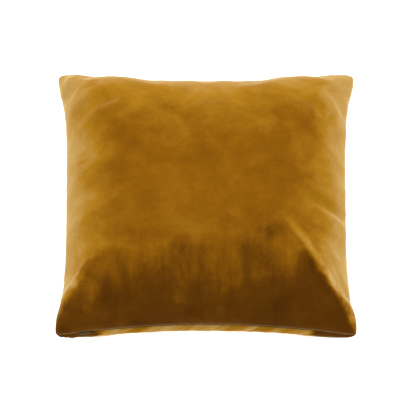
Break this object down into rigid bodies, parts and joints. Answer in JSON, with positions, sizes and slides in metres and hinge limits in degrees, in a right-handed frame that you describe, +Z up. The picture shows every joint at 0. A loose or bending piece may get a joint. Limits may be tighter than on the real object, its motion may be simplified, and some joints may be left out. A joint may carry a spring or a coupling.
{
  "type": "throw pillow",
  "caption": "Square knife-edge velvet throw pillow: zipped two-panel cover with a concealed zip, over a separate filled inner pad.",
  "frame": {"origin": "middle of the box's bottom face, on the surface that the pillow's back panel lies on", "axes": "+X along the zipped edge, +Y from the zipped edge towards the opposite edge, +Z up out of the front panel"},
  "size_m": [0.4854, 0.4854, 0.1497],
  "materials": {
    "velvet": "short-pile mustard-gold velvet, soft sheen",
    "sewing_thread": "spun polyester thread, matched to the velvet",
    "overlock_thread": "spun polyester overlock thread, pale gold",
    "zip_tape": "woven polyester tape",
    "zip_coil": "nylon monofilament coil",
    "zip_metal": "enamelled zinc, satin",
    "ticking": "plain-weave cotton ticking, off-white",
    "pad_thread": "white polyester thread",
    "label": "blank white woven satin label",
    "filling": "white polyester fibre"
  },
  "bodies": {
    "cushion": {"cover_front_panel": "velvet", "cover_back_panel": "velvet", "cover_seam_thread": "sewing_thread", "cover_overlock_thread": "overlock_thread", "care_label": "label", "zip_tape_upper": "zip_tape", "zip_tape_lower": "zip_tape", "zip_coil_upper": "zip_coil", "zip_coil_lower": "zip_coil", "zip_closed_end_stops": "zip_metal", "zip_open_end_stop": "zip_metal", "zip_stitching": "sewing_thread", "pad_front_panel": "ticking", "pad_back_panel": "ticking", "pad_seam_thread": "pad_thread", "pad_closing_stitch": "pad_thread", "pad_label": "label", "pad_filling": "filling"},
    "zip_slider": {"zip_slider": "zip_metal"},
    "zip_pull": {"zip_pull": "zip_metal"}
  },
  "joints": [
    {"name": "zip_travel", "type": "hinge", "parent": "cushion", "child": "zip_slider", "pos_m": [0, -1.59591, 0.066], "axis": [0, 0, -1], "range_deg": [0, 14.81], "deforming": ["zip_coil_upper", "zip_coil_lower"]},
    {"name": "pull_swing", "type": "hinge", "parent": "zip_slider", "child": "zip_pull", "pos_m": [-0.18167, -0.23679, 0.066], "axis": [0, 0, 1], "range_deg": [0, 165]}
  ]
}
